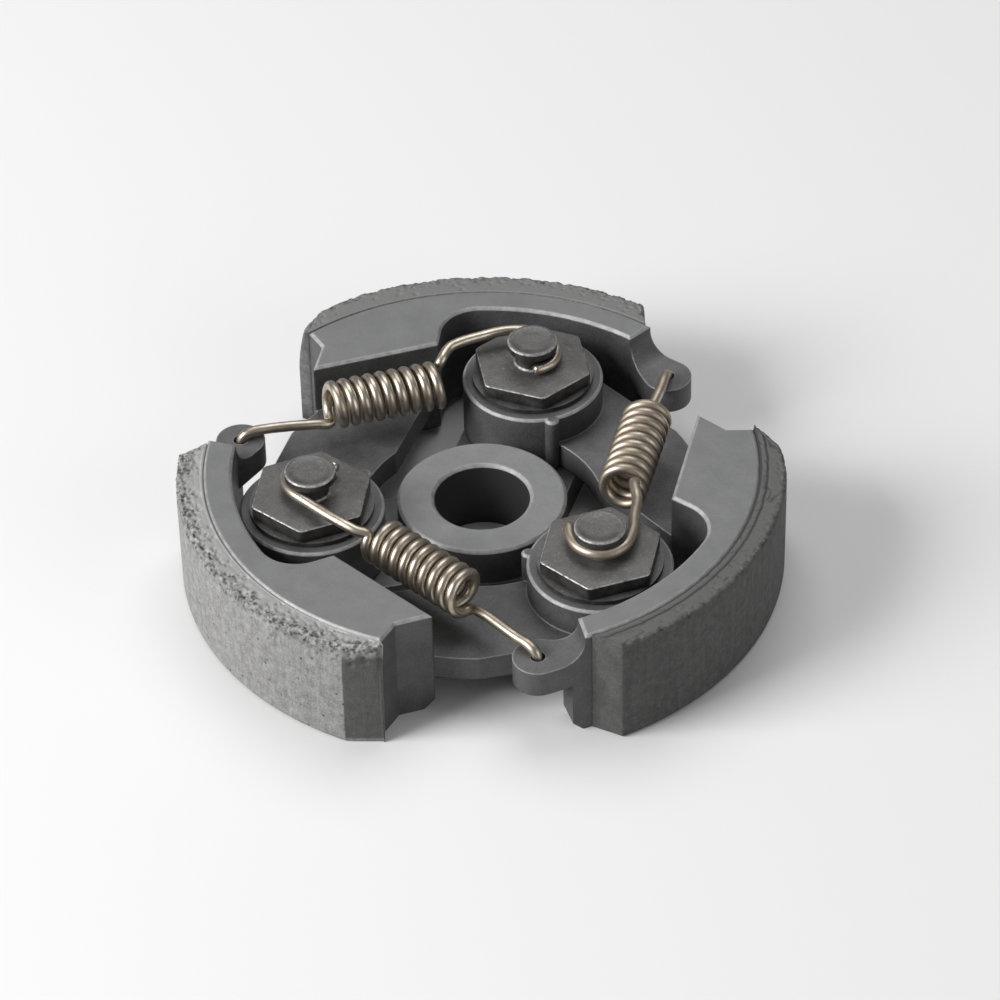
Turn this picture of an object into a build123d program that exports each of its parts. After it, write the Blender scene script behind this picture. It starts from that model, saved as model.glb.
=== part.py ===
import os
from math import cos, radians, sin

from build123d import *

# Three-shoe centrifugal clutch of a small two-stroke engine, in millimetres.
# The origin is on the hub's axis, level with the surface that the clutch lies on.
# Radii build up from the bore outwards, and heights from the carrier upwards.
# A lag is an angle behind the first shoe's pivot, clockwise seen from above.

# Number of shoes and the place of the first pivot
shoe_count = 3
first_pivot_angle = 71.6

# Hub carrier
bore_radius = 6.0
hub_wall = 4.65
hub_height = 9.5
hub_chamfer = 0.4
carrier_arm_height = 4.3
carrier_arm_width = 16.4

# Pivot: stud, washer and the shoe's eye
journal_radius = 4.5
running_clearance = 0.05
eye_wall = 4.45
eye_height = 7.5
eye_chamfer = 0.3
hub_to_eye = 1.85
axial_clearance = 0.3
end_float = 0.15
shank_radius = 3.0
washer_rim = 3.2
washer_thickness = 0.5
hexagon_flats = 13.6
hexagon_height = 1.9
hexagon_angles = (39, 21, 18)
neck_radius = 2.1
neck_play = 1.2
button_radius = 3.2
button_height = 1.0
button_chamfer = 0.35

# Shoe casting: recess for the next eye, rim, weight block and its nose
shoe_height = 15.0
recess_clearance = 0.5
recess_lead = 26.5
recess_corner = 5.0
rim_thickness = 3.6
rim_overhang = 21.3
rim_end_slant = 0.9
block_depth = 10.1
block_lead = 4.3
block_end_lag = 54.0
block_end_depth = 5.9
nose_lag = 7.4
nose_depth = 3.3
nose_slant = 1.0
foot_chamfer = 1.3
edge_chamfer = 0.35

# Shoe casting: web from the eye to the block
web_height = 3.4
web_hub_gap = 4.55
web_start_lag = 21.0
web_bend_lag = 56.0
web_rim_margin = 2.6
web_shoulder_lag = 43.0
web_shoulder_angle = -28.0
web_root = 1.0
nub_radius = 0.9
nub_angle = -147.0

# Shoe casting: spring tab
tab_drop = 4.0
tab_height = 3.5
tab_cove = 3.2
tab_lag = 8.9
tab_inset = 2.5
tab_root_lag = 6.0
tab_foot_lag = 2.7
ear_radius = 3.1

# Friction lining
lining_thickness = 3.4
lining_tip = 1.6
lining_tip_slant = 1.0
lead_in_lag = 7.0
run_out_lag = 3.9
lining_end_margin = 1.4
lining_chamfer = 0.6

# Return spring
wire_diameter = 1.2
coil_diameter = 6.3
coil_gap = 0.4
coil_full_turns = 9
coil_start_angle = 135
coil_bend = 1.3
hook_radius = 3.4
hook_clearance = 0.1
hook_end_angle = 75
tab_hook_radius = 1.5
tab_hook_rise = 0.35
tab_hook_tail = 0.8
tab_hole_clearance = 0.3
wire_sides = 5
turn_steps = 10
hook_steps = 8
bend_steps = 3

# Radii and angles that follow
hub_radius = bore_radius + hub_wall
eye_bore_radius = journal_radius + running_clearance
eye_radius = eye_bore_radius + eye_wall
pivot_circle = hub_radius + hub_to_eye + eye_radius
recess_radius = pivot_circle + eye_radius + recess_clearance
body_radius = recess_radius + rim_thickness
lining_radius = body_radius + lining_thickness
shoe_spacing = 360 / shoe_count
recess_lag = shoe_spacing - recess_lead
rim_end_lag = shoe_spacing + rim_overhang
rim_inner_lag = rim_end_lag - rim_end_slant
nose_end_lag = block_end_lag + nose_lag + nose_slant
wire_radius = wire_diameter / 2

# Heights that follow
eye_bottom = carrier_arm_height + axial_clearance
eye_top = eye_bottom + eye_height
washer_bottom = eye_top + end_float
hexagon_bottom = washer_bottom + washer_thickness
neck_bottom = hexagon_bottom + hexagon_height
button_bottom = neck_bottom + wire_diameter + neck_play
tab_top = shoe_height - tab_drop
tab_bottom = tab_top - tab_height


# Plan point at a radius from the hub's axis and a lag behind the first pivot
def at(radius, lag):
    angle = radians(first_pivot_angle - lag)
    return (radius * cos(angle), radius * sin(angle))


# Plan point on the first eye's outline, at an angle from the line through hub and pivot
def on_eye(angle):
    turn = radians(first_pivot_angle + angle)
    return (pivot[0] + eye_radius * cos(turn), pivot[1] + eye_radius * sin(turn))


# Arc about the hub's axis from one lag to another
def hub_arc(radius, lag_from, lag_to):
    lag_middle = (lag_from + lag_to) / 2
    return ThreePointArc(at(radius, lag_from), at(radius, lag_middle), at(radius, lag_to))


os.makedirs("parts", exist_ok=True)
pivot = at(pivot_circle, 0)
tab_hole = at(body_radius - tab_inset, rim_end_lag + tab_lag)

# Hub tube on three round-ended arms, each with a hole for a stud's shank
with BuildPart() as hub_carrier:
    with BuildSketch():
        Circle(hub_radius)
        with PolarLocations(pivot_circle / 2, shoe_count, first_pivot_angle):
            Rectangle(pivot_circle, carrier_arm_width)
        with PolarLocations(pivot_circle, shoe_count, first_pivot_angle):
            Circle(eye_radius)
            Circle(shank_radius, mode=Mode.SUBTRACT)
    extrude(amount=carrier_arm_height)
    with BuildSketch():
        Circle(hub_radius)
    extrude(amount=hub_height)
    with BuildSketch():
        Circle(bore_radius)
    extrude(amount=hub_height, mode=Mode.SUBTRACT)
    chamfer(hub_carrier.faces().sort_by(Axis.Z)[-1].edges(), hub_chamfer)
hub_carrier.part.label = "hub_carrier"
export_step(hub_carrier.part, "parts/hub_carrier.step")

# Shoulder stud: shank, journal, hexagon, neck for the spring's hook and button head
for number in range(shoe_count):
    foot = at(pivot_circle, -number * shoe_spacing)
    with BuildPart() as pivot_stud:
        with BuildSketch(Plane(origin=(*foot, 0))):
            Circle(shank_radius)
        extrude(amount=carrier_arm_height)
        with BuildSketch(Plane(origin=(*foot, carrier_arm_height))):
            Circle(journal_radius)
        extrude(amount=hexagon_bottom - carrier_arm_height)
        with BuildSketch(Plane(origin=(*foot, hexagon_bottom))):
            RegularPolygon(hexagon_flats / 2, 6, major_radius=False, rotation=hexagon_angles[number])
        extrude(amount=hexagon_height)
        with BuildSketch(Plane(origin=(*foot, neck_bottom))):
            Circle(neck_radius)
        extrude(amount=button_bottom - neck_bottom)
        with BuildSketch(Plane(origin=(*foot, button_bottom))):
            Circle(button_radius)
        extrude(amount=button_height)
        chamfer(pivot_stud.faces().sort_by(Axis.Z)[-1].edges(), button_chamfer)
    pivot_stud.part.label = f"pivot_stud_{number + 1}"
    export_step(pivot_stud.part, f"parts/{pivot_stud.part.label}.step")

# Thin washer between the shoe's eye and the hexagon
for number in range(shoe_count):
    foot = at(pivot_circle, -number * shoe_spacing)
    with BuildPart() as pivot_washer:
        with BuildSketch(Plane(origin=(*foot, washer_bottom))):
            Circle(eye_bore_radius + washer_rim)
            Circle(eye_bore_radius, mode=Mode.SUBTRACT)
        extrude(amount=washer_thickness)
    pivot_washer.part.label = f"pivot_washer_{number + 1}"
    export_step(pivot_washer.part, f"parts/{pivot_washer.part.label}.step")

# Shoe casting, made at the first pivot
block_start = at(body_radius - block_end_depth, block_end_lag)
nose = at(body_radius - nose_depth, block_end_lag + nose_lag)
rim_end = at(body_radius, rim_end_lag)
rim_inner_end = at(recess_radius, rim_inner_lag)
rim_root = at(recess_radius + rim_thickness / 2, rim_end_lag - tab_root_lag)
foot_outer = at(body_radius, rim_end_lag + tab_foot_lag)
foot_inner = at(recess_radius, rim_end_lag + tab_foot_lag)
recess_start = at(recess_radius, recess_lag)
heel = at(body_radius - block_depth, recess_lag - block_lead)
web_inner_radius = hub_radius + web_hub_gap
web_outer_radius = recess_radius - web_rim_margin
web_toe = at(body_radius - block_depth + web_root, recess_lag - block_lead)
web_nose = at(body_radius - nose_depth, nose_end_lag + nose_slant)
cove_middle = (Vector(*rim_end) + Vector(*rim_inner_end)) / 2 + Vector(0, 0, tab_top)
with BuildPart() as shoe:
    # Weight block and rim at full height, hollowed for the next shoe's eye
    with BuildSketch():
        with BuildLine():
            Polyline(heel, block_start, nose, at(body_radius, nose_end_lag))
            hub_arc(body_radius, nose_end_lag, rim_end_lag)
            Line(rim_end, rim_inner_end)
            hub_arc(recess_radius, rim_inner_lag, recess_lag)
            Line(recess_start, heel)
        make_face()
        fillet(vertices().sort_by_distance(Vector(*recess_start))[0], recess_corner)
    extrude(amount=shoe_height)
    floor_edges = shoe.edges().group_by(Axis.Z)[0]
    heel_edges = floor_edges.filter_by(lambda edge: edge.distance_to(Vertex(*heel)) < edge_chamfer)
    recess_edges = floor_edges.filter_by(GeomType.CIRCLE).sort_by(SortBy.RADIUS)[:2]
    chamfer(heel_edges + recess_edges, foot_chamfer)
    chamfer(shoe.faces().sort_by(Axis.Z)[-1].edges(), edge_chamfer)
    # Eye with its moulded nub
    with BuildSketch(Plane.XY.offset(eye_bottom)):
        with Locations(pivot):
            Circle(eye_radius)
        with Locations(on_eye(nub_angle)):
            Circle(nub_radius)
    extrude(amount=eye_height)
    eye_face = shoe.faces().sort_by_distance(Vector(*pivot, eye_top))[0]
    chamfer(eye_face.edges(), eye_chamfer)
    # Web between the eye and the block
    with BuildSketch(Plane.XY.offset(eye_bottom)):
        with BuildLine():
            hub_arc(web_inner_radius, web_start_lag, web_bend_lag)
            Polyline(at(web_inner_radius, web_bend_lag), web_toe, web_nose, block_start)
            Line(block_start, at(web_outer_radius, block_end_lag))
            hub_arc(web_outer_radius, block_end_lag, web_shoulder_lag)
            Polyline(at(web_outer_radius, web_shoulder_lag), on_eye(web_shoulder_angle), pivot)
            Line(pivot, at(web_inner_radius, web_start_lag))
        make_face()
    extrude(amount=web_height)
    # Spring tab at the end of the rim, blended into the end wall by a cove
    with BuildSketch(Plane.XY.offset(tab_bottom)):
        with BuildLine():
            Polyline(rim_end, rim_root, rim_inner_end, close=True)
        make_face()
        with Locations(tab_hole):
            Circle(ear_radius)
        make_hull()
    extrude(amount=tab_height)
    fillet(shoe.edges().sort_by_distance(cove_middle)[0], tab_cove)
    # Foot under the tab's root, down to the floor
    with BuildSketch():
        with BuildLine():
            Polyline(rim_end, foot_outer, foot_inner, rim_inner_end, close=True)
        make_face()
    extrude(amount=tab_bottom)
    floor_edges = shoe.edges().group_by(Axis.Z)[0]
    chamfer(floor_edges.filter_by(lambda edge: edge.distance_to(Vertex(*foot_inner)) < edge_chamfer), foot_chamfer)
    # Bore of the eye and hole for the spring
    with BuildSketch(Plane.XY.offset(eye_bottom)):
        with Locations(pivot):
            Circle(eye_bore_radius)
    extrude(amount=eye_height, mode=Mode.SUBTRACT)
    with BuildSketch(Plane.XY.offset(tab_bottom)):
        with Locations(tab_hole):
            Circle(wire_radius + tab_hole_clearance)
    extrude(amount=tab_height, mode=Mode.SUBTRACT)

# The castings, one at each pivot
for number in range(shoe_count):
    with BuildPart() as shoe_body:
        add(shoe.part, rotation=(0, 0, number * shoe_spacing))
    shoe_body.part.label = f"shoe_body_{number + 1}"
    export_step(shoe_body.part, f"parts/{shoe_body.part.label}.step")

# Friction lining bonded on the rim, with a long lead-in at the block's end
lining_end_lag = rim_end_lag - lining_end_margin
run_out_start_lag = lining_end_lag - run_out_lag
tip_lag = nose_end_lag - lining_tip_slant
with BuildPart() as lining:
    with BuildSketch():
        with BuildLine():
            hub_arc(body_radius, nose_end_lag, lining_end_lag)
            Line(at(body_radius, lining_end_lag), at(lining_radius, run_out_start_lag))
            hub_arc(lining_radius, run_out_start_lag, tip_lag + lead_in_lag)
            Line(at(lining_radius, tip_lag + lead_in_lag), at(body_radius + lining_tip, tip_lag))
            Line(at(body_radius + lining_tip, tip_lag), at(body_radius, nose_end_lag))
        make_face()
    extrude(amount=shoe_height)
    top_arcs = lining.faces().sort_by(Axis.Z)[-1].edges().filter_by(GeomType.CIRCLE).sort_by(SortBy.RADIUS)
    chamfer(top_arcs[0], edge_chamfer)
    chamfer(top_arcs[-1], lining_chamfer)

# The linings, one on each casting
for number in range(shoe_count):
    with BuildPart() as friction_lining:
        add(lining.part, rotation=(0, 0, number * shoe_spacing))
    friction_lining.part.label = f"friction_lining_{number + 1}"
    export_step(friction_lining.part, f"parts/{friction_lining.part.label}.step")

# Return spring from the next stud's neck to the first shoe's tab: open hook, coil, bent end.
# In its own frame X runs from the stud to the tab's hole, and Z is up.
anchor = at(pivot_circle, -shoe_spacing)
pull = Vector(*tab_hole) - Vector(*anchor)
spring_frame = Plane(origin=(*anchor, 0), x_dir=pull, z_dir=(0, 0, 1))
coil_radius = (coil_diameter - wire_diameter) / 2
coil_turns = coil_full_turns + (270 - coil_start_angle) / 360
coil_pitch = wire_diameter + coil_gap
coil_start = (pull.length - coil_turns * coil_pitch) / 2
bend_turns = coil_bend / (360 * radians(coil_radius))
hook_centre = hook_radius - neck_radius - hook_clearance - wire_radius
hook_level = (neck_bottom + button_bottom) / 2
tab_hook_level = tab_top + wire_radius + tab_hook_rise
coil_level = (hook_level + tab_hook_level) / 2


# Point on the coil's cylinder, at a number of turns from its start and a length off its helix
def on_coil(turns, off_helix=0.0):
    angle = radians(coil_start_angle + 360 * turns)
    distance = coil_start + coil_pitch * turns + off_helix
    return Vector(distance, coil_radius * cos(angle), coil_level + coil_radius * sin(angle))


# Hook, from its cut end round the far side of the stud's neck
wire_path = []
for step in range(hook_steps + 1):
    angle = radians(hook_end_angle + (270 - hook_end_angle) * step / hook_steps)
    wire_path.append(Vector(hook_centre + hook_radius * cos(angle), hook_radius * sin(angle), hook_level))
# Coil, with a bend at each end where the wire turns between the axis and the helix
bend_shares = [step / bend_steps for step in range(bend_steps)]
for share in bend_shares:
    wire_path.append(on_coil(bend_turns * share**2, -coil_bend * (1 - share) ** 2))
helix_turns = coil_turns - 2 * bend_turns
helix_steps = round(helix_turns * turn_steps)
for step in range(helix_steps + 1):
    wire_path.append(on_coil(bend_turns + helix_turns * step / helix_steps))
for share in reversed(bend_shares):
    wire_path.append(on_coil(coil_turns - bend_turns * share**2, coil_bend * (1 - share) ** 2))
# Bent end, down through the tab's hole
for step in range(bend_steps + 1):
    angle = radians(90 * step / bend_steps)
    distance = pull.length - tab_hook_radius * (1 - sin(angle))
    wire_path.append(Vector(distance, 0, tab_hook_level - tab_hook_radius * (1 - cos(angle))))
wire_path.append(Vector(pull.length, 0, tab_bottom - tab_hook_tail))
wire_path = [spring_frame.from_local_coords(point) for point in wire_path]

# Wire lofted through flat-sided sections, each carried on from the last without twist
side = Vector(0, 0, 1)
with BuildPart() as spring:
    for index, point in enumerate(wire_path):
        before = wire_path[max(index - 1, 0)]
        after = wire_path[min(index + 1, len(wire_path) - 1)]
        heading = (after - before).normalized()
        side = (side - heading * side.dot(heading)).normalized()
        with BuildSketch(Plane(origin=point, x_dir=side, z_dir=heading)):
            RegularPolygon(wire_radius, wire_sides)
    loft(ruled=True)

# The springs, one for each shoe
for number in range(shoe_count):
    with BuildPart() as return_spring:
        add(spring.part, rotation=(0, 0, number * shoe_spacing))
    return_spring.part.label = f"return_spring_{number + 1}"
    export_step(return_spring.part, f"parts/{return_spring.part.label}.step")
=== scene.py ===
# Three-shoe centrifugal clutch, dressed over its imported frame. Lengths are in mm until makeMesh.
import math
import bpy
import numpy as np
from mathutils import Matrix


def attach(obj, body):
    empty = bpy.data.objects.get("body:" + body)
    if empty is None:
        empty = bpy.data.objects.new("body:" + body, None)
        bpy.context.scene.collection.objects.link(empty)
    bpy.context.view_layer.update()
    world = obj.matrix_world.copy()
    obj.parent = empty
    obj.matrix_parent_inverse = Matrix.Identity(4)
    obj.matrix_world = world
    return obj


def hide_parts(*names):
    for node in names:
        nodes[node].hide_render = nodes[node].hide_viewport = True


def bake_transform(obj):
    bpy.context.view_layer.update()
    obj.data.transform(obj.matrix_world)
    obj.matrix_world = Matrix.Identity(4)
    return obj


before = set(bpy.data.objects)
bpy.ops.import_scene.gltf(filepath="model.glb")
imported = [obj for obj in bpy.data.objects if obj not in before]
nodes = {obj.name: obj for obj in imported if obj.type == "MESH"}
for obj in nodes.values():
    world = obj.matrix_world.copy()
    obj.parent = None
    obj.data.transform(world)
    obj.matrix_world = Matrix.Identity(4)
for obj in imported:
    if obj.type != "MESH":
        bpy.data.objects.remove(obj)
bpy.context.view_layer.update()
print("frame loaded:", len(nodes), "nodes")

layout = {"shoes": 3, "firstPivot": 71.6, "pivotCircle": 21.5, "tabCircle": 32.1, "tabLag": 150.2}


# Polar point: radius times the cosine and sine of an angle in degrees.
def polar(radius, degrees):
    turn = np.radians(degrees)
    return np.stack([radius * np.cos(turn), radius * np.sin(turn)], axis=-1)


def pivotAngle(number):
    return layout["firstPivot"] + 120.0 * (number - 1)


# Quads between neighbouring rows and columns of a grid, the columns closed into a ring.
def ringQuads(rows, columns):
    row, column = np.meshgrid(np.arange(rows - 1), np.arange(columns), indexing="ij")
    after = (column + 1) % columns
    return np.stack([row * columns + column, row * columns + after,
                     (row + 1) * columns + after, (row + 1) * columns + column], axis=-1).reshape(-1, 4)


# Fan of triangles from one pole to a ring that starts at the given index.
def poleFan(pole, start, columns, flip):
    column = np.arange(columns)
    after = (column + 1) % columns
    fan = np.stack([np.full(columns, pole), start + column, start + after], axis=-1)
    return fan[:, ::-1] if flip else fan


# Puts points and faces into a mesh in metres, smooth, with each corner's own map place if given.
def makeMesh(name, points, faces, cornerMap=None, marks=None):
    mesh = bpy.data.meshes.new(name)
    mesh.from_pydata((points * 0.001).tolist(), [], [face.tolist() for block in faces for face in block])
    mesh.polygons.foreach_set("use_smooth", np.ones(len(mesh.polygons), dtype=bool))
    if cornerMap is not None:
        corner = np.empty(len(mesh.loops), dtype=np.int32)
        mesh.loops.foreach_get("vertex_index", corner)
        layer = mesh.uv_layers.new(name="skin")
        layer.data.foreach_set("uv", cornerMap[corner].astype(np.float32).ravel())
    for mark, values in (marks or {}).items():
        mesh.attributes.new(mark, "FLOAT", "POINT").data.foreach_set("value", values.astype(np.float32).ravel())
    mesh.update()
    piece = bpy.data.objects.new(name, mesh)
    bpy.context.collection.objects.link(piece)
    return piece


# Value noise: random numbers on a square lattice, blended between its corners by 3t2 - 2t3.
def latticeNoise(across, along, seed):
    table = np.random.default_rng(seed).random((64, 64))
    x0, y0 = np.floor(across).astype(int), np.floor(along).astype(int)
    fx, fy = across - x0, along - y0
    fx, fy = fx * fx * (3 - 2 * fx), fy * fy * (3 - 2 * fy)
    low = table[x0 % 64, y0 % 64] * (1 - fx) + table[(x0 + 1) % 64, y0 % 64] * fx
    high = table[x0 % 64, (y0 + 1) % 64] * (1 - fx) + table[(x0 + 1) % 64, (y0 + 1) % 64] * fx
    return low * (1 - fy) + high * fy


class Finish:
    # One material's node tree, with short calls for the nodes that these finishes use.
    def __init__(self, name):
        self.material = bpy.data.materials.new(name)
        self.material.use_nodes = True
        self.tree = self.material.node_tree
        self.shader = self.tree.nodes["Principled BSDF"]
        self.place = self.tree.nodes.new("ShaderNodeTexCoord")

    def node(self, kind, inputs, **options):
        made = self.tree.nodes.new(kind)
        for option, value in options.items():
            setattr(made, option, value)
        for socket, value in inputs.items():
            self.put(value, made.inputs[socket])
        return made

    def put(self, value, socket):
        if isinstance(value, bpy.types.NodeSocket):
            self.tree.links.new(value, socket)
        else:
            socket.default_value = value

    def grain(self, scale, detail=3.0, roughness=0.6, where=None, stretch=None):
        where = where or self.place.outputs["Object"]
        if stretch:
            where = self.node("ShaderNodeMapping", {"Vector": where, "Scale": stretch}).outputs[0]
        return self.node("ShaderNodeTexNoise", {"Vector": where, "Scale": scale, "Detail": detail,
                                                "Roughness": roughness}).outputs[0]

    def cells(self, scale, where=None, feature="F1"):
        where = where or self.place.outputs["Object"]
        return self.node("ShaderNodeTexVoronoi", {"Vector": where, "Scale": scale},
                         feature=feature).outputs["Distance"]

    def spread(self, value, low, high, first=0.0, last=1.0):
        return self.node("ShaderNodeMapRange", {"Value": value, "From Min": low, "From Max": high,
                                                "To Min": first, "To Max": last}).outputs[0]

    def sums(self, operation, first, second):
        return self.node("ShaderNodeMath", {0: first, 1: second}, operation=operation).outputs[0]

    def ramp(self, value, *stops):
        made = self.node("ShaderNodeValToRGB", {"Fac": value})
        band = made.color_ramp
        while len(band.elements) < len(stops):
            band.elements.new(0.5)
        for element, (spot, colour) in zip(band.elements, stops):
            element.position = spot
            element.color = (*colour, 1.0)
        return made.outputs[0]

    def mix(self, share, first, second, blend="MIX"):
        made = self.node("ShaderNodeMix", {}, data_type="RGBA", blend_type=blend)
        for value, socket in zip((share, first, second), (0, 6, 7)):
            self.put(value, made.inputs[socket])
        return made.outputs[2]

    def facing(self):
        return self.node("ShaderNodeSeparateXYZ",
                         {0: self.node("ShaderNodeNewGeometry", {}).outputs["Normal"]}).outputs

    # One at the given height, nought beyond far, in metres.
    def near(self, value, height, far, close):
        return self.spread(self.sums("ABSOLUTE", self.sums("SUBTRACT", value, height), 0.0), far, close)

    def mark(self, name):
        return self.node("ShaderNodeAttribute", {}, attribute_name=name).outputs["Fac"]

    def bumps(self, *layers, base=None):
        normal = base
        for height, strength, depth in layers:
            inputs = {"Height": height, "Strength": strength, "Distance": depth}
            if normal:
                inputs["Normal"] = normal
            normal = self.node("ShaderNodeBump", inputs).outputs[0]
        self.put(normal, self.shader.inputs["Normal"])


def dress(piece, finish):
    piece.data.materials.clear()
    piece.data.materials.append(finish.material)


# ground tones are the pale top faces; the skin tones cover the rest, dark partly as painted shade on walls and
# hollows; bore is painted shade in the hub's bore; edge is the tone of edge wear and painted highlight
castLook = {"groundDark": (0.150, 0.151, 0.153), "groundLight": (0.235, 0.236, 0.238),
            "skinAndShadeDark": (0.060, 0.060, 0.061), "skinAndShadeLight": (0.165, 0.165, 0.168),
            "bore": (0.045, 0.045, 0.047), "edge": (0.46, 0.46, 0.46), "soften": 0.00032}


# Cast iron: faces ground level at the given heights stay pale; the rest gets the dark casting skin, partly painted
# shade on walls and hollows.
# Edge wear and painted highlight lighten the chamfers at the edge levels and the upward edges where a softened normal
# leaves the true one.
def castIron(name, look, groundLevels, edgeLevels, tone=1.0, grainScale=5200.0, bore=None, rim=None):
    finish = Finish(name)
    fine = finish.grain(grainScale, 4.0, 0.7)
    cloud = finish.grain(330.0, 3.0, 0.6)
    mixed = finish.sums("ADD", finish.spread(fine, 0.25, 0.75, 0.0, 0.7), finish.spread(cloud, 0.3, 0.7, 0.0, 0.3))
    ground = finish.ramp(mixed, (0.1, [tone * c for c in look["groundDark"]]),
                         (0.9, [tone * c for c in look["groundLight"]]))
    skin = finish.ramp(mixed, (0.1, look["skinAndShadeDark"]), (0.9, look["skinAndShadeLight"]))
    place = finish.node("ShaderNodeSeparateXYZ", {0: finish.place.outputs["Object"]}).outputs
    slope = finish.facing()["Z"]
    level = None
    for height in groundLevels:
        near = finish.near(place["Z"], height, 0.00012, 0.00005)
        level = near if level is None else finish.sums("MAXIMUM", level, near)
    flat = finish.sums("MULTIPLY", level, finish.spread(slope, 0.9, 0.97))
    across = finish.sums("ADD", finish.sums("MULTIPLY", place["X"], place["X"]),
                         finish.sums("MULTIPLY", place["Y"], place["Y"]))
    if bore:   # painted shade: the bore darkened inside its radius
        skin = finish.mix(finish.spread(across, (bore * 1.04) ** 2, (bore * 1.01) ** 2), skin, (*look["bore"], 1.0))
    # pale ground tops; all other faces take the skin tones, darkened partly as painted shade
    body = finish.mix(flat, skin, ground)
    soft = finish.node("ShaderNodeBevel", {"Radius": look["soften"]}, samples=6).outputs[0]
    true = finish.node("ShaderNodeNewGeometry", {}).outputs["True Normal"]
    bent = finish.node("ShaderNodeVectorMath", {0: soft, 1: true}, operation="DOT_PRODUCT").outputs["Value"]
    edge = finish.spread(bent, 0.995, 0.90)
    outward = finish.node("ShaderNodeSeparateXYZ", {0: soft}).outputs["Z"]
    bank = None
    for height in edgeLevels:
        near = finish.near(place["Z"], height, 0.00050, 0.00042)
        if height == rim:   # the eye's rim lies within this radius, the tab's cove at the same height outside it
            near = finish.sums("MULTIPLY", near, finish.spread(across, 0.0294 ** 2, 0.0290 ** 2))
        bank = near if bank is None else finish.sums("MAXIMUM", bank, near)
    chamfer = finish.sums("MULTIPLY", finish.spread(slope, 0.6, 0.68), finish.spread(slope, 0.80, 0.73))
    bank = finish.sums("MULTIPLY", bank, chamfer)
    upper = finish.sums("MULTIPLY", edge, finish.spread(outward, 0.15, 0.5))
    # edge wear and painted highlight: chamfers at the edge levels and upward-facing edges lightened
    wornAndHighlight = finish.sums("MULTIPLY", finish.sums("MAXIMUM", bank, upper),
                       finish.spread(finish.grain(1100.0, 4.0), 0.3, 0.65, 0.45, 0.85))
    finish.put(finish.mix(wornAndHighlight, body, (*look["edge"], 1.0)), finish.shader.inputs["Base Color"])
    finish.shader.inputs["Metallic"].default_value = 0.25
    finish.put(finish.spread(fine, 0.2, 0.8, 0.40, 0.60), finish.shader.inputs["Roughness"])
    finish.bumps((fine, 0.30, 0.00012), (finish.grain(1500.0, 3.0), 0.25, 0.00015), base=soft)
    return finish


# One lining material in three tones: the pale one painted lit, the dim one painted shaded, the first between them.
liningMidLit = {"moulded": 0.2, "line": 0.1, "bondLineLightShade": (0.50, 0.50, 0.49),
              "dark": (0.055, 0.055, 0.054), "mid": (0.195, 0.194, 0.190), "light": (0.40, 0.40, 0.385)}
liningLitPale = {"moulded": 0.74, "line": 0.85, "bondLineLightShade": (0.52, 0.52, 0.51),
              "dark": (0.070, 0.070, 0.068), "mid": (0.345, 0.343, 0.335), "light": (0.66, 0.66, 0.64)}
liningShadedDim = {"moulded": 0.1, "line": 0.85, "bondLineLightShade": (0.028, 0.028, 0.028),
             "dark": (0.035, 0.035, 0.034), "mid": (0.122, 0.121, 0.119), "light": (0.25, 0.25, 0.243)}


# Pressed friction lining: a smooth band by the bond, pitted grit along the outer corner, upright scoring on the wall,
# a darker unground skin on the two end slopes, partly painted shade, and a bond line in a painted tone, a highlight on
# the lighter linings and shade on the dim one.
def pressedLining(name, look, speckle=1.0):
    finish = Finish(name)
    skin = finish.place.outputs["UV"]
    fine = finish.grain(4200.0, 4.0, 0.75)
    pores = finish.cells(1700.0)
    blots = finish.grain(1500.0, 4.0, 0.7)
    streak = finish.grain(1.0, 4.0, 0.65, where=skin, stretch=(1.5, 0.10, 1.0))
    side = finish.spread(finish.facing()["Z"], 0.75, 0.35)
    rough, moulded = finish.mark("grit"), finish.mark("moulded")
    smooth = finish.spread(fine, 0.2, 0.8, 0.30, 0.62)
    grit = finish.sums("ADD", finish.spread(blots, 0.35, 0.68, 0.04, 0.52),
                       finish.spread(pores, 0.12, 0.55, -0.25 * speckle, 0.14))
    top = finish.node("ShaderNodeMix", {0: rough, 2: smooth, 3: grit}).outputs[0]
    drawn = finish.sums("ADD", finish.spread(streak, 0.3, 0.7, 0.22, 0.38), finish.spread(fine, 0.3, 0.7, 0.0, 0.36))
    drawn = finish.sums("ADD", drawn, finish.spread(finish.grain(900.0, 4.0, 0.7), 0.3, 0.7, -0.13, 0.15))
    drawn = finish.sums("SUBTRACT", drawn, finish.spread(finish.cells(620.0), 0.17, 0.06, 0.0, 0.30 * speckle))
    wall = finish.node("ShaderNodeMix", {0: finish.sums("MULTIPLY", rough, 0.75), 2: drawn, 3: grit}).outputs[0]
    value = finish.node("ShaderNodeMix", {0: side, 2: top, 3: wall}).outputs[0]
    colour = finish.ramp(value, (0.05, look["dark"]), (0.5, look["mid"]), (0.95, look["light"]))
    # the end slopes darkened: unground skin and painted shade
    shade = finish.mix(finish.sums("MULTIPLY", moulded, look["moulded"]), colour, (0.05, 0.05, 0.05, 1.0))
    # the bond line painted in the look's tone: a highlight on the lit linings, shade on the dim one
    shade = finish.mix(finish.sums("MULTIPLY", finish.mark("line"), look["line"]), shade, (*look["bondLineLightShade"], 1.0))
    shade = finish.mix(finish.sums("MULTIPLY", finish.mark("seam"), 0.92), shade, (0.03, 0.03, 0.03, 1.0))
    finish.put(shade, finish.shader.inputs["Base Color"])
    finish.put(finish.spread(fine, 0.2, 0.8, 0.58, 0.85), finish.shader.inputs["Roughness"])
    loose = finish.sums("MULTIPLY", grit, rough)
    relief = finish.node("ShaderNodeMix", {0: side, 2: loose, 3: wall}).outputs[0]
    finish.bumps((fine, 0.45, 0.00014), (relief, 0.35, 0.00020))
    return finish


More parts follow.
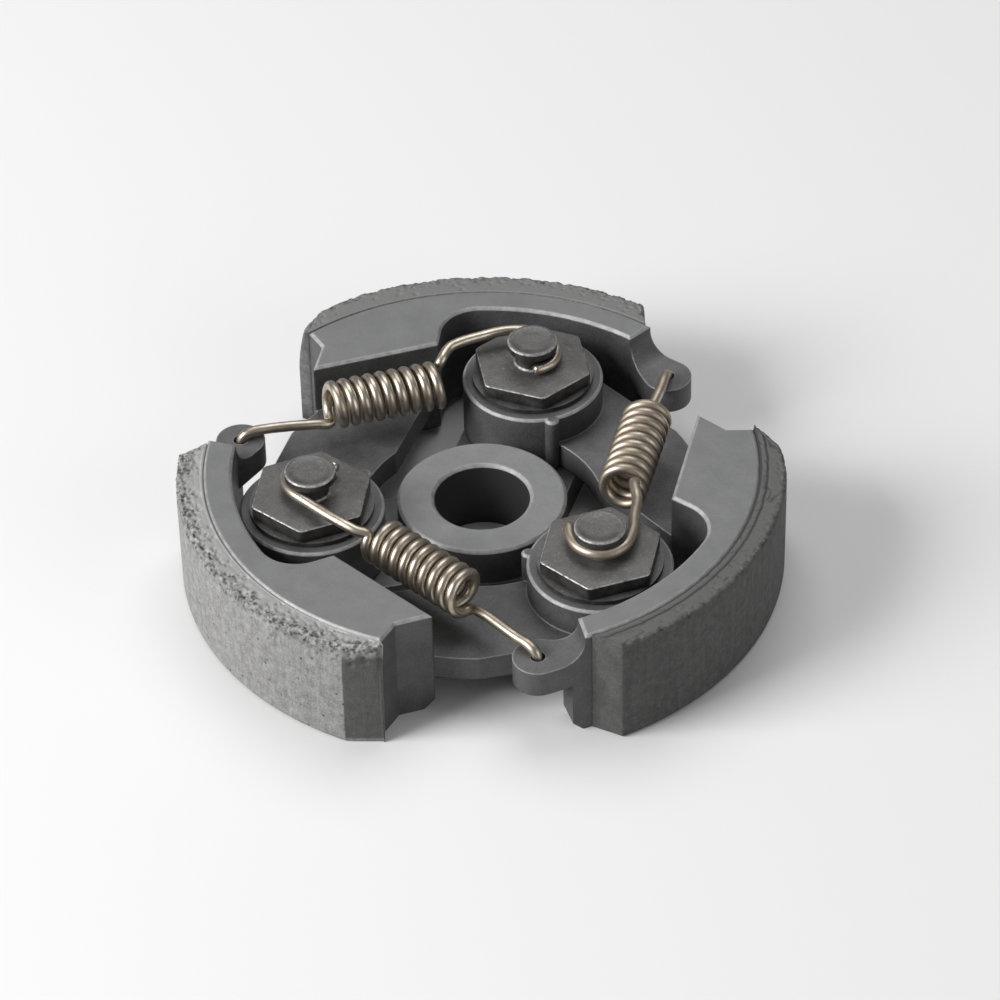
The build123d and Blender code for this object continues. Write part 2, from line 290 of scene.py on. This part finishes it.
# the pale tone lights the upward faces, partly rubbing and partly painted highlight; rim is painted highlight and wear
# on round edges
studLook = {"dark": (0.026, 0.025, 0.025), "mid": (0.088, 0.085, 0.083),
            "rubAndSheen": (0.31, 0.305, 0.30), "rim": (0.52, 0.51, 0.50)}


# Black oxide steel: dark skin, brown clouds, lighter on upward faces and round edges, from rubbing and painted
# highlight.
def blackOxide(name, look):
    finish = Finish(name)
    cloud = finish.grain(520.0, 5.0, 0.65)
    fine = finish.grain(5200.0, 4.0, 0.7)
    skin = finish.ramp(cloud, (0.3, look["dark"]), (0.62, look["mid"]))
    slope = finish.facing()["Z"]
    # upward faces and round edges lightened: rubbing and painted highlight
    rimWearAndHighlight = finish.sums("MULTIPLY", finish.spread(slope, 0.25, 0.5), finish.spread(slope, 0.97, 0.85))
    scuff = finish.spread(finish.grain(1400.0, 4.0, 0.7), 0.52, 0.68)
    top = finish.sums("MULTIPLY", finish.spread(slope, 0.8, 0.98), finish.spread(fine, 0.3, 0.8, 0.1, 0.55))
    rubbedAndLit = finish.sums("MAXIMUM", top, finish.sums("MULTIPLY", scuff, finish.spread(slope, 0.2, 0.9, 0.1, 0.6)))
    rim = finish.sums("MULTIPLY", rimWearAndHighlight, finish.spread(finish.grain(1700.0, 4.0, 0.7), 0.35, 0.62, 0.15, 1.0))
    handledAndLit = finish.mix(rubbedAndLit, skin, (*look["rubAndSheen"], 1.0))
    finish.put(finish.mix(rim, handledAndLit, (*look["rim"], 1.0)), finish.shader.inputs["Base Color"])
    finish.shader.inputs["Metallic"].default_value = 0.55
    finish.put(finish.spread(cloud, 0.3, 0.7, 0.36, 0.56), finish.shader.inputs["Roughness"])
    finish.bumps((fine, 0.3, 0.0001), (finish.grain(1100.0, 4.0), 0.35, 0.00018))
    return finish


wireLook = {"cream": (0.655, 0.595, 0.505), "brown": (0.31, 0.25, 0.19)}


# Drawn spring wire: warm tempered steel with long draw lines and browner patches.
def drawnWire(name, look, browning=0.5, dull=0.0):
    finish = Finish(name)
    skin = finish.place.outputs["UV"]
    draw = finish.grain(1.0, 3.0, 0.6, where=skin, stretch=(0.35, 14.0, 1.0))
    patch = finish.grain(420.0, 4.0, 0.6)
    value = finish.sums("ADD", finish.spread(patch, 0.3, 0.7, 0.0, 0.75), finish.spread(draw, 0.35, 0.65, 0.0, 0.25))
    between = [0.5 * (a + b) for a, b in zip(look["cream"], look["brown"])]
    colour = finish.ramp(value, (0.15, look["cream"]), (0.55 + 0.4 * (0.5 - browning), between), (1.0, look["brown"]))
    finish.put(colour, finish.shader.inputs["Base Color"])
    finish.shader.inputs["Metallic"].default_value = 1.0
    finish.put(finish.spread(patch, 0.3, 0.7, 0.30 + dull, 0.46 + dull), finish.shader.inputs["Roughness"])
    finish.bumps((draw, 0.2, 0.00005))
    return finish


springWire = {"radius": 0.67, "sides": 14, "samples": 4, "coilRadius": 2.5, "coilLevel": 13.72, "turns": 9.4,
              "coilFrom": 11.9, "coilTo": 26.9, "startAngle": 135.0}

# The hook of each spring, from its cut end to the coil, measured from the stud's centre.
hooks = {
    1: {"stud": 2, "path": [(3.3, 2.7, 16.0), (1.9, 3.35, 15.95), (0.0, 3.5, 15.9), (-1.9, 3.0, 15.9), (-3.05, 1.6, 16.0),
                            (-3.15, 0.0, 16.1), (-2.45, -1.75, 16.25), (-0.3, -4.1, 16.3), (2.2, -6.55, 16.3),
                            (4.5, -8.45, 16.2), (5.6, -9.1, 15.95)]},
    2: {"stud": 3, "path": [(-3.75, 2.6, 16.3), (-3.65, 0.4, 16.3), (-2.75, -1.75, 16.3), (-1.0, -3.0, 16.3), (1.1, -3.1, 16.3),
                            (3.0, -1.6, 16.3), (4.0, 1.0, 16.25), (4.35, 4.2, 16.1), (4.8, 7.2, 15.9)]},
    3: {"stud": 1, "path": [(0.1, -3.15, 15.6), (1.2, -2.75, 15.6), (2.3, -2.0, 15.65), (2.95, -0.8, 15.7), (3.1, 0.8, 15.8),
                            (2.5, 2.6, 15.95), (0.8, 3.75, 16.15), (-1.4, 4.1, 16.4), (-4.0, 3.75, 16.55), (-6.6, 2.75, 16.6),
                            (-9.2, 1.65, 16.6), (-10.45, 0.95, 16.45)]},
}


# Smooth line through points: a cubic on each run, its end slopes the weighted slopes of the two runs that meet.
def smoothLine(points, samples):
    gap = np.linalg.norm(np.diff(points, axis=0), axis=1)[:, None]
    slope = np.diff(points, axis=0) / gap
    inner = (slope[:-1] * gap[1:] + slope[1:] * gap[:-1]) / (gap[:-1] + gap[1:])
    slope = np.concatenate([slope[:1], inner, slope[-1:]])
    t = (np.arange(samples) / samples)[None, :, None]
    a, b = points[:-1, None], points[1:, None]
    ma, mb = slope[:-1, None] * gap[:, None], slope[1:, None] * gap[:, None]
    line = (2 * t**3 - 3 * t**2 + 1) * a + (t**3 - 2 * t**2 + t) * ma + (3 * t**2 - 2 * t**3) * b + (t**3 - t**2) * mb
    return np.concatenate([line.reshape(-1, 3), points[-1:]])


# Round wire: a circle carried along a line. Each ring's frame is the one before turned by the least angle,
# summed as one running total of the twist between neighbouring frames.
def wireSurface(line, radius, sides):
    heading = np.gradient(line, axis=0)
    heading /= np.linalg.norm(heading, axis=1)[:, None]
    guess = np.eye(3)[np.argmin(np.abs(heading), axis=1)]
    normal = np.cross(heading, guess)
    normal /= np.linalg.norm(normal, axis=1)[:, None]
    side = np.cross(heading, normal)
    axis = np.cross(heading[:-1], heading[1:])
    cosine = np.sum(heading[:-1] * heading[1:], axis=1)[:, None]
    carried = (normal[:-1] * cosine + np.cross(axis, normal[:-1])
               + axis * np.sum(axis * normal[:-1], axis=1)[:, None] / (1 + cosine))
    twist = np.arctan2(np.sum(carried * side[1:], axis=1), np.sum(carried * normal[1:], axis=1))
    phase = np.concatenate([[0.0], np.cumsum(twist)])
    length = np.concatenate([[0.0], np.cumsum(np.linalg.norm(np.diff(line, axis=0), axis=1))])
    edge = np.minimum(length, length[-1] - length)
    swell = np.sqrt(np.clip(1 - (1 - np.clip(edge / 0.22, 0, 1)) ** 2, 0.0, 1.0)) * 0.3 + 0.7
    turn = np.linspace(0, 2 * np.pi, sides, endpoint=False)[None] + phase[:, None]
    rings = line[:, None] + (radius * swell)[:, None, None] * (
        np.cos(turn)[..., None] * normal[:, None] + np.sin(turn)[..., None] * side[:, None])
    points = np.concatenate([rings.reshape(-1, 3), line[:1], line[-1:]])
    count = len(line)
    faces = [ringQuads(count, sides), poleFan(count * sides, 0, sides, True),
             poleFan(count * sides + 1, (count - 1) * sides, sides, False)]
    place = np.stack(np.broadcast_arrays(length[:, None], np.arange(sides)[None] / sides), axis=-1).reshape(-1, 2)
    place = np.concatenate([place, [[0, 0], [length[-1], 0]]])
    return points, faces, place


# The whole spring: hook points, a helix of steady pitch round the coil's axis, then over the tab and down its hole.
def springLine(number, hook):
    foot = polar(layout["pivotCircle"], pivotAngle(hook["stud"]))
    hole = polar(layout["tabCircle"], pivotAngle(number) - layout["tabLag"])
    span = np.linalg.norm(hole - foot)
    along = np.array([*(hole - foot) / span, 0.0])
    left = np.array([-along[1], along[0], 0.0])
    up = np.array([0.0, 0.0, 1.0])
    base = np.array([*foot, 0.0])
    turn = np.linspace(0, springWire["turns"], int(springWire["turns"] * 20) + 1)
    share = turn / springWire["turns"]
    bow = np.radians(springWire["startAngle"] + 360.0 * turn)
    reach = springWire["coilFrom"] + (springWire["coilTo"] - springWire["coilFrom"]) * share
    coil = (base + reach[:, None] * along + springWire["coilRadius"] * np.cos(bow)[:, None] * left
            + (springWire["coilLevel"] + springWire["coilRadius"] * np.sin(bow))[:, None] * up)
    start = np.array(hook["path"]) + base
    end = np.array([(span - 9.6, 0.55, 11.62), (span - 6.5, 0.25, 11.85), (span - 3.4, 0.0, 11.95), (span - 1.5, 0.0, 11.95),
                    (span - 0.45, 0.0, 11.5), (span, 0.0, 10.4), (span, 0.0, 8.6), (span, 0.0, 6.8)])
    end = base + end[:, :1] * along + end[:, 1:2] * left + end[:, 2:] * up
    return smoothLine(np.concatenate([start, coil, end]), springWire["samples"])


wireFinish = {1: drawnWire("springWire1", wireLook, 0.45), 2: drawnWire("springWire2", wireLook, 0.95, 0.08),
              3: drawnWire("springWire3", wireLook, 0.3)}
for number, hook in hooks.items():
    points, faces, place = wireSurface(springLine(number, hook), springWire["radius"], springWire["sides"])
    spring = makeMesh(f"springCoil{number}", points, faces, place)
    dress(spring, wireFinish[number])
    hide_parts(f"return_spring_{number}")
    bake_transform(spring)
print("springs wound")

lining = {"bond": 34.6, "outer": 38.0, "tip": 36.2, "lags": (61.4, 62.4, 68.4, 136.0, 139.9), "height": 15.0,
          "topEdge": 0.50, "arcSteps": (3, 24, 260, 14), "topSteps": 30, "wallSteps": 60}
liningWear = {1: {"seed": 11, "pits": 60, "depth": 0.10, "nibble": 0.16,
                  "streak": 0.02, "lead": 1.25, "blunt": 0.85, "band": -0.2,
                  "crack": 0.06, "groove": 0.10, "innerEdge": 0.22},
              2: {"seed": 23, "pits": 120, "depth": 0.15, "nibble": 0.30,
                  "streak": 0.02, "lead": 0.9, "blunt": 0.8, "band": 0.1,
                  "crack": 0.02, "groove": 0.0, "innerEdge": 0.10},
              3: {"seed": 37, "pits": 420, "depth": 0.30, "nibble": 0.40,
                  "streak": 0.035, "lead": 0.45, "blunt": 0.5, "band": 1.0,
                  "crack": 0.02, "groove": 0.03, "innerEdge": 0.34}}


# Lining: a round-cornered section carried from lag to lag. Its width is the outer line less the bond line at that lag,
# so it thins to an upright end at both ends. One depth over arc and path, where path runs over the top corner and down
# the wall, sums nibbles at the corner, round pits, cracks and upright scores. It is taken off along the section's normal.
def liningSurface(number, wear):
    tip, nose, lead, run, end = lining["lags"]
    lags = np.concatenate([np.linspace(a, b, n, endpoint=False) for a, b, n in
                           zip(lining["lags"][:-1], lining["lags"][1:], lining["arcSteps"])] + [lining["lags"][-1:]])
    inner = np.interp(lags, (tip, nose, end), (lining["tip"], lining["bond"], lining["bond"]))
    outer = np.interp(lags, (tip, lead, run, end), (lining["tip"], lining["outer"], lining["outer"], lining["bond"]))
    outer = np.maximum(outer, inner + 0.1)
    top, edge, small = lining["height"], lining["topEdge"], wear["innerEdge"]
    bend, step, wallStep = np.linspace(0, np.pi / 2, 7), lining["topSteps"], lining["wallSteps"]
    # Columns of the section: bond, inner corner, top, outer corner, wall, lower corner, foot.
    share = [np.zeros(8), np.linspace(0, 1, step), np.ones(13 + wallStep), np.linspace(1, 0, 6)[1:-1]]
    inset = [np.zeros(5), small * (1 - np.cos(bend[:6:2])), np.linspace(small, -edge, step), -edge * (1 - np.sin(bend[1:])),
             np.zeros(wallStep), -edge * (1 - np.cos(bend)), np.linspace(-edge, 0, 6)[1:-1]]
    level = [np.linspace(0, top - small, 6)[:-1], top - small * (1 - np.sin(bend[:6:2])), np.full(step, top),
             top - edge * (1 - np.cos(bend[1:])), np.linspace(top - edge, edge, wallStep + 2)[1:-1],
             edge * (1 - np.sin(bend)), np.zeros(4)]
    outwards = [np.zeros(8 + step), np.sin(bend[1:]), np.ones(wallStep), np.zeros(11)]
    upwards = [np.zeros(8), np.ones(step), np.cos(bend[1:]), np.zeros(wallStep + 11)]
    share, inset, level, outwards, upwards = (np.concatenate(part)[None] for part in
                                              (share, inset, level, outwards, upwards))
    width = (outer - inner)[:, None]
    fit = np.clip(width / 2.4, 0, 1)
    # The lead-in's upper corner is rounded away, most at the tip.
    late, high = np.clip((lags - tip) / 17.0, 0, 1)[:, None], np.clip((level - 8.5) / 6.5, 0, 1)
    lost = np.minimum(wear["lead"] * (1 - late) ** 1.3 * high ** 2.2, np.clip(width - 0.25, 0, None))
    radius = inner[:, None] + share * (width - lost) + inset * fit
    toTip = np.clip(1 - (lags - tip) / (nose - tip), 0, 1)[:, None]
    radius = radius - (lining["tip"] - lining["bond"]) * wear["blunt"] * toTip * high ** 1.5
    height = level + 0 * radius
    arc = np.radians(lags - tip)[:, None] * lining["outer"] + 0 * radius
    fromBond = radius - radius[:, 7:8]
    onTop = (upwards == 1) & (share < 1)
    fromCorner = np.clip(radius[:, 7 + step:8 + step] - radius, 0, None)
    path = np.where(onTop, -0.4 - fromCorner, np.where(outwards == 1, top - level - 0.12, 0.0))
    onCorner = (outwards > 0) & (upwards > 0) & (level > top - edge)
    path = np.where(onCorner, edge * (np.arctan2(outwards, upwards) - 0.785), path)
    inward, down = np.clip(-path, 0, None), np.clip(path, 0, None)
    seed = wear["seed"]
    coarse = latticeNoise(arc * 1.1, path * 1.2 + 40, seed)
    chips = latticeNoise(arc * 2.9, path * 2.9 + 40, seed + 1)
    depth = wear["nibble"] * np.exp(-(path / 1.2) ** 2) * np.clip(coarse * 0.9 + chips * 0.8 - 0.6, 0, 1)
    rng = np.random.default_rng(seed + 5)
    pitArc, pitPath = rng.uniform(1.0, 50.0, wear["pits"]), rng.normal(-0.5, 1.2, wear["pits"])
    pitWide = rng.uniform(0.15, 0.36, wear["pits"])
    pit = np.zeros_like(radius)
    for spot in range(wear["pits"]):   # one pit over the whole grid at a time
        pit = np.maximum(pit, np.exp(-((arc - pitArc[spot]) ** 2 + (path - pitPath[spot]) ** 2) / pitWide[spot] ** 2))
    wander = latticeNoise(arc * 0.55 + path * 0.5 + 9, path * 0.8 + 40, seed + 7)
    crack = np.exp(-((wander - 0.5) / 0.04) ** 2) * (path < 0.3) * np.clip(coarse * 3 - 1, 0, 1)
    groove = np.exp(-((fromBond - 0.85 - 0.12 * coarse) / 0.15) ** 2) * onTop
    depth = depth + wear["depth"] * pit + wear["crack"] * crack + wear["groove"] * groove
    score = latticeNoise(arc * 2.2, down * 0.10, seed + 9) * latticeNoise(arc * 5.5, down * 0.22, seed + 2)
    depth = depth + wear["streak"] * score * np.clip((down - 0.4) / 1.2, 0, 1) * np.clip(level / 1.5, 0, 1)
    depth = depth * fit * np.where(onTop, np.clip(fromBond / 0.35, 0, 1), 1.0)
    radius, height = radius - outwards * depth, height - upwards * depth
    angle = np.radians(pivotAngle(number) - lags)[:, None]
    points = np.stack([radius * np.cos(angle), radius * np.sin(angle), height], axis=-1)
    rows, columns = radius.shape
    ends = np.arange(columns)
    faces = [ringQuads(rows, columns)[:, ::-1], ends[None], (rows - 1) * columns + ends[None, ::-1]]
    place = np.stack([arc, height], axis=-1).reshape(-1, 2)
    ragged = (latticeNoise(arc * 0.8, 0 * arc + 5, seed + 3) * 0.9
              + latticeNoise(arc * 3.1, path * 2 + 40, seed + 4) * 0.7)
    used = (outwards + upwards) > 0
    grit = np.clip((wear["band"] + ragged - inward - down * 1.15) / 0.5, 0, 1) * used
    slope = (lags < lead - 0.05) | (lags > run + 0.05)
    # end slopes: unground skin, darkened in the finish partly as painted shade
    moulded = slope[:, None] * (outwards == 1) * np.clip((down - 0.7 - ragged * 0.5) / 0.4, 0, 1)
    # bond line: carries each lining's painted highlight and shade
    line = np.where((share == 0) & (level > top - small - 0.01), 1.0, 0.0)
    line = line + np.where(onTop & (share > 0), np.clip(1.5 - fromBond / 0.1, 0, 1), 0.0)
    seam = np.clip(crack * (wear["crack"] > 0.03) * 0.8 + groove * (wear["groove"] > 0.05), 0, 1) * fit
    return points.reshape(-1, 3), faces, place, {"grit": grit, "moulded": moulded, "line": line, "seam": seam}


# the three linings get lit, mid and shaded copies of one finish: painted light and shade
liningFinish = {1: pressedLining("liningSmoothShaded", liningShadedDim, 0.5), 2: pressedLining("liningFineMidLit", liningMidLit, 0.8),
                3: pressedLining("liningCoarseLit", liningLitPale, 1.2)}
for number, wear in liningWear.items():
    points, faces, place, marks = liningSurface(number, wear)
    band = makeMesh(f"liningBand{number}", points, faces, place, marks)
    dress(band, liningFinish[number])
    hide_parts(f"friction_lining_{number}")
    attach(band, f"shoe_{number}")
print("linings pressed")

stud = {"shank": 3.0, "journal": 4.5, "flats": 13.6, "hexFoot": 12.75, "hexTop": 14.65, "neck": 2.2, "capFoot": 16.95,
        "capTop": 18.05, "cap": 3.2, "columns": 192}
studTurn = {1: 39.0, 2: 21.0, 3: 18.0}


# Stud: one profile turned about its axis, where the hexagon's rings take the hexagon's radius at each angle,
# flats over the cosine of the angle from the nearest flat, rounded at the corners by a soft maximum.
def studSurface(number):
    turn = np.linspace(0, 2 * np.pi, stud["columns"], endpoint=False)
    flat = np.radians(studTurn[number])
    facets = np.cos(turn[:, None] - flat - np.radians(60.0 * np.arange(6) + 30.0)[None])
    hexagon = stud["flats"] / 2 / (np.sum(np.clip(facets, 0, None) ** 60, axis=1) ** (1 / 60))
    hexagon = np.minimum(hexagon, stud["flats"] / 2 * 1.135)
    # Rows are (height, radius, 0) on round parts and (height, share of the hexagon, 1) on the hexagon.
    rows = [(0, stud["shank"] - 0.3, 0), (0.3, stud["shank"], 0), (4.3, stud["shank"], 0),
            (4.35, stud["journal"], 0), (12.7, stud["journal"], 0)]
    bend = np.linspace(0, np.pi / 2, 7)
    foot, top = stud["hexFoot"], stud["hexTop"]
    rows += [(foot, 0.94, 1), (foot + 0.05, 0.985, 1), (foot + 0.2, 1.0, 1), (foot + 0.9, 1.0, 1)]
    rows += [(top - 0.22 * (1 - math.sin(b)), 1.0 - 0.035 * (1 - math.cos(b)), 1) for b in bend]
    rows += [(top, 1.0 - 0.035 - 0.1 * k, 1) for k in range(1, 6)]
    neck, cap, capTop = stud["neck"], stud["cap"], stud["capTop"]
    rows += [(top, neck + 0.35, 0), (top + 0.1, neck + 0.1, 0), (top + 0.35, neck, 0),
             (stud["capFoot"] - 0.1, neck, 0), (stud["capFoot"], neck + 0.1, 0)]
    rows += [(stud["capFoot"] + 0.12 * (1 - math.cos(b)), cap - 0.12 * (1 - math.sin(b)), 0) for b in bend]
    rows += [(capTop - 0.34 * (1 - math.sin(b)), cap - 0.40 * (1 - math.cos(b)), 0) for b in bend]
    rows += [(capTop - 0.01, cap - 0.52, 0), (capTop - 0.10, cap - 0.66, 0), (capTop - 0.11, 1.6, 0), (capTop - 0.11, 0.8, 0)]
    level, radius, isHex = (np.array(part, dtype=float) for part in zip(*rows))
    wide = np.where(isHex[:, None] > 0.5, radius[:, None] * hexagon[None], radius[:, None] + 0 * hexagon[None])
    foot = polar(layout["pivotCircle"], pivotAngle(number))
    points = np.stack([foot[0] + wide * np.cos(turn), foot[1] + wide * np.sin(turn),
                       level[:, None] + 0 * wide], axis=-1)
    count, columns = wide.shape
    points = np.concatenate([points.reshape(-1, 3), [[*foot, level[0]], [*foot, level[-1]]]])
    faces = [ringQuads(count, columns), poleFan(count * columns, 0, columns, True),
             poleFan(count * columns + 1, (count - 1) * columns, columns, False)]
    return points, faces


studFinish = blackOxide("blackOxide", studLook)
for number in studTurn:
    points, faces = studSurface(number)
    bolt = makeMesh(f"shoulderStud{number}", points, faces)
    dress(bolt, studFinish)
    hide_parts(f"pivot_stud_{number}")
    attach(bolt, "carrier")
print("studs turned")

shoeFinish = castIron("castShoe", castLook, (0.015,), (0.015, 0.0121), rim=0.0121)
hubFinish = castIron("turnedHub", castLook, (0.0095,), (0.0095,), 1.2, 6500.0, bore=0.006)
for name, node in nodes.items():
    if name.startswith("shoe_body"):
        dress(node, shoeFinish)
    if name.startswith("hub_carrier"):
        dress(node, hubFinish)
    if name.startswith("pivot_washer"):
        dress(node, studFinish)
print("castings finished")

floorMesh = bpy.data.meshes.new("floor")
floorMesh.from_pydata([(-4, -4, 0), (4, -4, 0), (4, 6, 0), (-4, 6, 0)], [], [(0, 1, 2, 3)])
floor = bpy.data.objects.new("floor", floorMesh)
bpy.context.collection.objects.link(floor)
floorFinish = Finish("paleFloor")
path = floorFinish.node("ShaderNodeLightPath", {}).outputs
mirrored = floorFinish.sums("MAXIMUM", path["Is Glossy Ray"], path["Is Transmission Ray"])
seen = floorFinish.sums("MAXIMUM", path["Is Camera Ray"], mirrored)
floorTone = floorFinish.mix(seen, (0.22, 0.22, 0.22, 1.0), (0.82, 0.82, 0.82, 1.0))   # bounces less than it shows
floorFinish.put(floorTone, floorFinish.shader.inputs["Base Color"])
floorFinish.shader.inputs["Roughness"].default_value = 0.95
floorFinish.shader.inputs["Specular IOR Level"].default_value = 0.1
dress(floor, floorFinish)

lamps = {"key": {"place": (-0.62, -0.22, 0.40), "size": 0.40, "power": 6.6},
         "top": {"place": (0.05, 0.32, 0.72), "size": 0.60, "power": 2.6},
         "fill": {"place": (0.60, -0.45, 0.30), "size": 0.50, "power": 1.25}}
for name, lamp in lamps.items():
    data = bpy.data.lights.new(name, "AREA")
    data.size, data.energy = lamp["size"], lamp["power"]
    lampObject = bpy.data.objects.new(name, data)
    lampObject.location = lamp["place"]
    aim = -np.array(lamp["place"])
    lean = math.acos(aim[2] / np.linalg.norm(aim)) - math.pi
    lampObject.rotation_euler = (lean, 0.0, math.atan2(aim[1], aim[0]) + math.pi / 2)
    bpy.context.collection.objects.link(lampObject)

world = bpy.data.worlds.new("studio")
bpy.context.scene.world = world
world.use_nodes = True
world.node_tree.nodes["Background"].inputs["Color"].default_value = (1.0, 1.0, 1.0, 1.0)
world.node_tree.nodes["Background"].inputs["Strength"].default_value = 0.16

view = {"elevation": 40.621, "roll": 1.277, "distance": 559.95, "aimRight": 2.085, "aimUp": 6.720, "lens": 159.41}
tilt, roll = math.radians(view["elevation"]), math.radians(view["roll"])
flatRight, flatUp = np.array([1.0, 0, 0]), np.array([0, math.sin(tilt), math.cos(tilt)])
right = math.cos(roll) * flatRight - math.sin(roll) * flatUp
upward = math.sin(roll) * flatRight + math.cos(roll) * flatUp
forward = np.array([0, math.cos(tilt), -math.sin(tilt)])
spot = (view["aimRight"] * right + view["aimUp"] * upward - view["distance"] * forward) * 0.001
cameraData = bpy.data.cameras.new("camera")
cameraData.lens, cameraData.sensor_width = view["lens"], 36.0
cameraData.clip_start, cameraData.clip_end = 0.01, 20.0
camera = bpy.data.objects.new("camera", cameraData)
turned = np.eye(4)
turned[:3, 0], turned[:3, 1], turned[:3, 2], turned[:3, 3] = right, upward, -forward, spot
camera.matrix_world = Matrix(turned.tolist())
bpy.context.collection.objects.link(camera)
bpy.context.scene.camera = camera
bpy.context.scene.view_settings.view_transform = "Standard"

print("scene ready")
